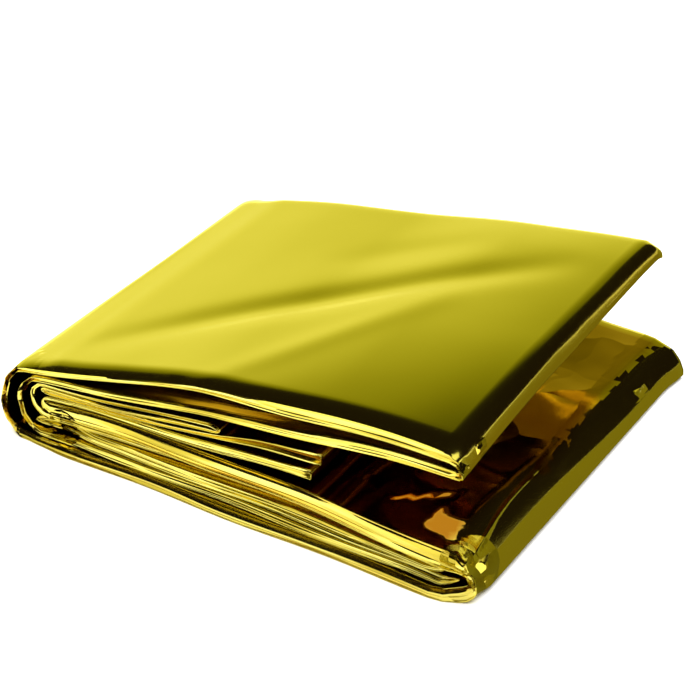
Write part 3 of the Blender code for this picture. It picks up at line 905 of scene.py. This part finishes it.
def crumples(wire, place, crush):
    """Height of the facets of crushed film."""
    bend = wire.node("TexNoise", Vector=place, Scale=BEND_SCALE, Detail=1.0)
    bent = wire.vector("MULTIPLY_ADD", bend.outputs["Color"], (BEND_REACH,) * 3, place)
    angular = {"distance": "MANHATTAN"}
    facets = wire.node("TexVoronoi", angular, Vector=bent, Scale=FACET_SCALE)
    height = wire.times(wire.times(facets.outputs["Distance"], crush), FACET_HEIGHT)
    bits = wire.node("TexVoronoi", angular, Vector=bent, Scale=BIT_SCALE)
    hard = wire.math("MULTIPLY_ADD", crush, BIT_RISE, BIT_START, clamp=True)
    hard = wire.times(bits.outputs["Distance"], hard)
    return wire.math("MULTIPLY_ADD", hard, BIT_HEIGHT, height)


def star_creases(wire, place, height):
    """The height with the creases that run out from the crushed corner like a star."""
    middle = tuple((at - past) * MM for at, past in zip(STAR, (*BOX_MIDDLE, 0.0)))
    from_star = wire.vector("SUBTRACT", place, middle)
    away = wire.vector("LENGTH", from_star, gives="Value")
    fade = wire.math("MULTIPLY_ADD", away, -1.0 / (STAR_REACH * MM), STAR_FULL, clamp=True)
    for fold in STAR_FOLDS:
        off = wire.vector("DOT_PRODUCT", from_star, fold.across, gives="Value")
        off = wire.math("MINIMUM", wire.math("ABSOLUTE", off), STAR_WIDTH * MM)
        off = wire.times(off, fold.height / MM)
        height = wire.math("MULTIPLY_ADD", off, fade, height)
    return height


def seam_ridge(wire, place, past_seam):
    """1 on the seam, 0 beside it and past its end."""
    off = wire.math("DIVIDE", past_seam, SEAM_WIDTH)
    ridge = wire.math("EXPONENT", wire.times(wire.times(off, off), -1.0))
    parts = wire.node("SeparateXYZ", Vector=place)
    end = (SEAM_END - BOX_MIDDLE[1]) / SEAM_FADE
    left = wire.math("MULTIPLY_ADD", parts.outputs["Y"], -1.0 / (SEAM_FADE * MM), end, clamp=True)
    return wire.times(ridge, left)


def level_film(wire, place, past_level):
    """1 where the film lies level, with a ragged edge."""
    flakes = wire.node("TexVoronoi", Vector=place, Scale=RAGGED_SCALE)
    parts = wire.node("SeparateXYZ", Vector=flakes.outputs["Color"])
    ragged = wire.math("MULTIPLY_ADD", parts.outputs["X"], RAGGED_REACH, -0.5 * RAGGED_REACH)
    ragged = wire.math("SUBTRACT", ragged, past_level)
    return wire.math("DIVIDE", ragged, RAGGED_BLEND, clamp=True)


def ply_lines(wire, along, across):
    """Noise drawn out along the film, a line for each ply."""
    x, y = wire.times(along, LINE_ALONG), wire.times(across, LINE_ACROSS)
    place = wire.node("CombineXYZ", X=x, Y=y).outputs[0]
    look = {"Scale": 1.0, "Detail": LINE_DETAIL, "Roughness": LINE_ROUGHNESS}
    lines = wire.node("TexNoise", {"noise_dimensions": "2D"}, Vector=place, **look)
    return lines.outputs["Fac"]


def film_relief():
    """Height in millimetres of the film's fine creases, and where its seam, plies and level are."""
    group = bpy.data.node_groups.new("film_relief", "ShaderNodeTree")
    group.interface.new_socket("Place", in_out="INPUT", socket_type="NodeSocketVector")
    for name in ("Crush", "Strands", "Along", "Across", "Seam", "Level"):
        group.interface.new_socket(name, in_out="INPUT", socket_type="NodeSocketFloat")
    for name in ("Height", "Ridge", "Plies", "Levelled"):
        group.interface.new_socket(name, in_out="OUTPUT", socket_type="NodeSocketFloat")
    start = group.nodes.new("NodeGroupInput").outputs
    end = group.nodes.new("NodeGroupOutput").inputs
    wire = Wiring(group)
    place = start["Place"]
    look = {"Scale": WAVE_SCALE, "Detail": 1.0, "Roughness": WAVE_ROUGHNESS}
    waves = wire.node("TexNoise", Vector=place, **look)
    broad = wire.times(waves.outputs["Fac"], WAVE_HEIGHT)
    creased = star_creases(wire, place, crumples(wire, place, start["Crush"]))
    ridge = seam_ridge(wire, place, start["Seam"])
    creased = wire.math("MULTIPLY_ADD", ridge, SEAM_HEIGHT, creased)
    lines = ply_lines(wire, start["Along"], start["Across"])
    plies = wire.times(wire.times(lines, start["Strands"]), LINE_HEIGHT)
    wire.feed(end["Height"], wire.math("ADD", broad, wire.math("ADD", creased, plies)))
    wire.feed(end["Ridge"], ridge)
    wire.feed(end["Plies"], lines)
    wire.feed(end["Levelled"], level_film(wire, place, start["Level"]))
    return group


FILM_GOLD = (0.86, 0.745, 0.094, 1.0)
# Painted amber, which stands in for light that has bounced between the film's gold faces.
PAINTED_AMBER_COLOUR = (0.62, 0.25, 0.012, 1.0)
PLY_PAINTED_HIGHLIGHT = (0.88, 0.79, 0.18, 1.0)  # painted highlight of the foremost plies, which catch the most light
PLY_PAINTED_SHADE = (0.46, 0.36, 0.035, 1.0)  # and painted shade of the ones that lie a little further back
PAINTED_DEEP_SHADE = (0.045, 0.028, 0.003, 1.0)  # painted shade: the darkest film colour, deep between the leaves
GRAZING_TINT = (0.97, 0.93, 0.5, 1.0)  # keeps the film gold where it is seen edge-on
PLY_CONTRAST, PLY_START = 6.0, -2.4  # how the lines' noise is spread from dark plies to lit ones
FILM_ROUGHNESS = 0.17
FOLDED_ROUGHNESS = 0.09  # a crisp mirror between the leaves and in the crushed corners
CRISP_RISE = 2.5  # how fast the film turns crisp with its crush


def film_facing(wire, bump, levelled):
    """The bumped normal, leaning to the light in the paler patches and up on the level film."""
    lean = wire.mark("lean")
    x, y = [wire.times(lean, most) for most in GLIMPSE_LEAN]
    leans = wire.node("CombineXYZ", X=x, Y=y, Z=wire.times(levelled, LEVEL_LEAN))
    turned = wire.node(
        "VectorTransform",
        {"vector_type": "VECTOR", "convert_from": "OBJECT", "convert_to": "WORLD"},
        Vector=leans.outputs[0],
    )
    return wire.vector("NORMALIZE", wire.vector("ADD", turned.outputs[0], bump))


def gold_film():
    material, wire = new_material("gold_film")
    shader = material.node_tree.nodes["Principled BSDF"]
    shader.inputs["Metallic"].default_value = 1.0
    shader.inputs["Specular Tint"].default_value = GRAZING_TINT
    crush, strands = wire.mark("crush"), wire.mark("strands")
    relief = wire.node(
        "Group",
        {"node_tree": film_relief()},
        Place=wire.node("TexCoord").outputs["Object"],
        Crush=crush,
        Strands=strands,
        Along=wire.mark("along"),
        Across=wire.mark("across"),
        Seam=wire.mark("seam"),
        Level=wire.mark("level"),
    ).outputs
    bump = wire.node("Bump", Strength=1.0, Distance=MM, Height=relief["Height"])
    facing = film_facing(wire, bump.outputs["Normal"], relief["Levelled"])
    wire.feed(shader.inputs["Normal"], facing)
    # Painted shade and painted amber on the film between the leaves, for shade and for light
    # bounced between its faces.
    between = wire.mix(wire.mark("shade"), PAINTED_AMBER_COLOUR, PAINTED_DEEP_SHADE)
    plain = wire.mix(wire.mark("inner"), FILM_GOLD, between)
    # Painted highlight and shade on the plies: the lines' noise picks lit and shaded ply colours
    # where the plies show.
    lit = wire.math("MULTIPLY_ADD", relief["Plies"], PLY_CONTRAST, PLY_START, clamp=True)
    plain = wire.mix(strands, plain, wire.mix(lit, PLY_PAINTED_SHADE, PLY_PAINTED_HIGHLIGHT))
    # Along the seam the colour turns to plain gold, without the painted amber and shade: a painted
    # highlight on the crease.
    wire.feed(shader.inputs["Base Color"], wire.mix(relief["Ridge"], plain, FILM_GOLD))
    crisp = wire.math("MULTIPLY", crush, CRISP_RISE, clamp=True)
    change = FOLDED_ROUGHNESS - FILM_ROUGHNESS
    roughness = wire.math("MULTIPLY_ADD", crisp, change, FILM_ROUGHNESS)
    wire.feed(shader.inputs["Roughness"], roughness)
    return material


# The studio, in metres.
PAPER = (0.9, 0.9, 0.9, 1.0)
PAPER_ROUGHNESS = 0.9
FLOOR_SIZE = 4.0

# The card behind the blanket glows less and less towards its top: share of the way, and level.
CARD_FADE = (
    (0.0, 0.93), (0.20, 0.93), (0.28, 0.80), (0.395, 0.61),
    (0.52, 0.43), (0.66, 0.28), (0.82, 0.15), (1.0, 0.05),
)
CARD_AZIMUTH, CARD_DISTANCE = -42, 1.2
CARD_WIDTH, CARD_HEIGHT = 2.2, 1.25
WARMING = 3.0  # how much faster the card's blue fades than its red and green

# Painted shade: a dim glowing sheet on the floor beside the open side, which only the film mirrors,
# in place of shaded floor there.
FLOOR_SHADE_GLOW = (0.23, 0.22, 0.05, 1.0)
FLOOR_SHADE_SIZE = (0.442, 0.65)
FLOOR_SHADE_MIDDLE = (0.28, 0.277, 0.0002)

FRONT_RADIANCE = 1.2
FRONT_WIDTH, FRONT_HEIGHT = 0.8, 0.6
TABLE_WATTS = 92
TABLE_WIDTH = 2.4
WORLD_GLOW = (1.0, 0.74, 0.8, 1)
WORLD_STRENGTH = 0.012

LENS = 92.57
EYE = (0.182213, -0.301663, 0.231614)
LOOK = (-0.4396563, 0.72962475, -0.52378437)


def new_plane(name, size=1.0):
    bpy.ops.object.select_all(action="DESELECT")
    bpy.ops.mesh.primitive_plane_add(size=size)
    plane = bpy.context.active_object
    plane.name = name
    return plane


def floor():
    plane = new_plane("floor", FLOOR_SIZE)
    paper, _ = new_material("floor_paper")
    shader = paper.node_tree.nodes["Principled BSDF"]
    shader.inputs["Base Color"].default_value = PAPER
    shader.inputs["Roughness"].default_value = PAPER_ROUGHNESS
    plane.data.materials.append(paper)


def glow_only(piece):
    """A material of this piece that only glows, as its wiring and its glow's colour socket."""
    material, wire = new_material(piece.name)
    material.node_tree.nodes.clear()
    output = wire.node("OutputMaterial")
    glow = wire.node("Emission")
    wire.feed(output.inputs["Surface"], glow.outputs["Emission"])
    piece.data.materials.append(material)
    piece.visible_camera = False
    return wire, glow.inputs["Color"]


def back_card():
    """An upright card behind the blanket, which the film mirrors."""
    card = new_plane("back_card")
    turn = math.radians(CARD_AZIMUTH)
    place = Vector((math.sin(turn), math.cos(turn), 0.0)) * CARD_DISTANCE
    place.z = CARD_HEIGHT / 2
    face = Matrix.Rotation(math.pi / 2, 4, "X")
    size = Matrix.Diagonal((CARD_WIDTH, CARD_HEIGHT, 1.0, 1.0))
    card.data.transform(Matrix.Translation(place) @ Matrix.Rotation(-turn, 4, "Z") @ face @ size)
    wire, colour = glow_only(card)
    parts = wire.node("SeparateXYZ", Vector=wire.node("TexCoord").outputs["Object"])
    share = wire.math("DIVIDE", parts.outputs["Z"], CARD_HEIGHT, clamp=True)
    fade = wire.node("ValToRGB", Fac=share)
    stops = fade.color_ramp.elements
    for number, (place_on, level) in enumerate(CARD_FADE):
        if number >= 2:
            stops.new(place_on)
        stops[number].position = place_on
        stops[number].color = (level, level, level**WARMING, 1.0)
    wire.feed(colour, fade.outputs["Color"])


def side_flag():
    """A dim glowing sheet that lies beside the open side, where only the film mirrors it: painted
    shade that stands in for shaded floor beside the blanket.
    """
    shade_sheet = new_plane("side_flag")
    shade_sheet.data.transform(Matrix.Translation(FLOOR_SHADE_MIDDLE) @ Matrix.Diagonal((*FLOOR_SHADE_SIZE, 1.0, 1.0)))
    _, colour = glow_only(shade_sheet)
    colour.default_value = FLOOR_SHADE_GLOW
    shade_sheet.visible_diffuse = False
    shade_sheet.visible_shadow = False


def softbox(name, azimuth, elevation, distance, width, height, watts):
    """A soft light that faces the blanket. Azimuth 0 is +Y, and 90 is +X."""
    data = bpy.data.lights.new(name, "AREA")
    data.shape = "RECTANGLE"
    data.size, data.size_y = width, height
    data.energy = watts
    lamp = bpy.data.objects.new(name, data)
    turn, lift = math.radians(azimuth), math.radians(elevation)
    lamp.location = distance * Vector(
        (math.sin(turn) * math.cos(lift), math.cos(turn) * math.cos(lift), math.sin(lift))
    )
    lamp.rotation_euler = (-lamp.location).to_track_quat("-Z", "Y").to_euler()
    bpy.context.scene.collection.objects.link(lamp)
    return lamp


def studio():
    scene = bpy.context.scene
    scene.world = bpy.data.worlds.new("studio")
    scene.world.use_nodes = True
    background = scene.world.node_tree.nodes["Background"]
    background.inputs["Color"].default_value = WORLD_GLOW
    background.inputs["Strength"].default_value = WORLD_STRENGTH
    scene.view_settings.view_transform = "Standard"
    back_card()
    side_flag()
    front_watts = FRONT_RADIANCE * math.pi * FRONT_WIDTH * FRONT_HEIGHT
    softbox("front_softbox", 130, 42, 1.2, FRONT_WIDTH, FRONT_HEIGHT, front_watts)
    table_light = softbox("table_light", 0, 90, 1.6, TABLE_WIDTH, TABLE_WIDTH, TABLE_WATTS)
    table_light.visible_glossy = False


def camera():
    data = bpy.data.cameras.new("camera")
    data.sensor_width = 36.0
    data.lens = LENS
    data.clip_start = 0.01
    eye = bpy.data.objects.new("camera", data)
    eye.location = EYE
    eye.rotation_euler = Vector(LOOK).to_track_quat("-Z", "Y").to_euler()
    bpy.context.scene.collection.objects.link(eye)
    bpy.context.scene.camera = eye


camera()
floor()
studio()
sheet = foil_sheet()
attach(sheet, "root")
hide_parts("foil_blanket")
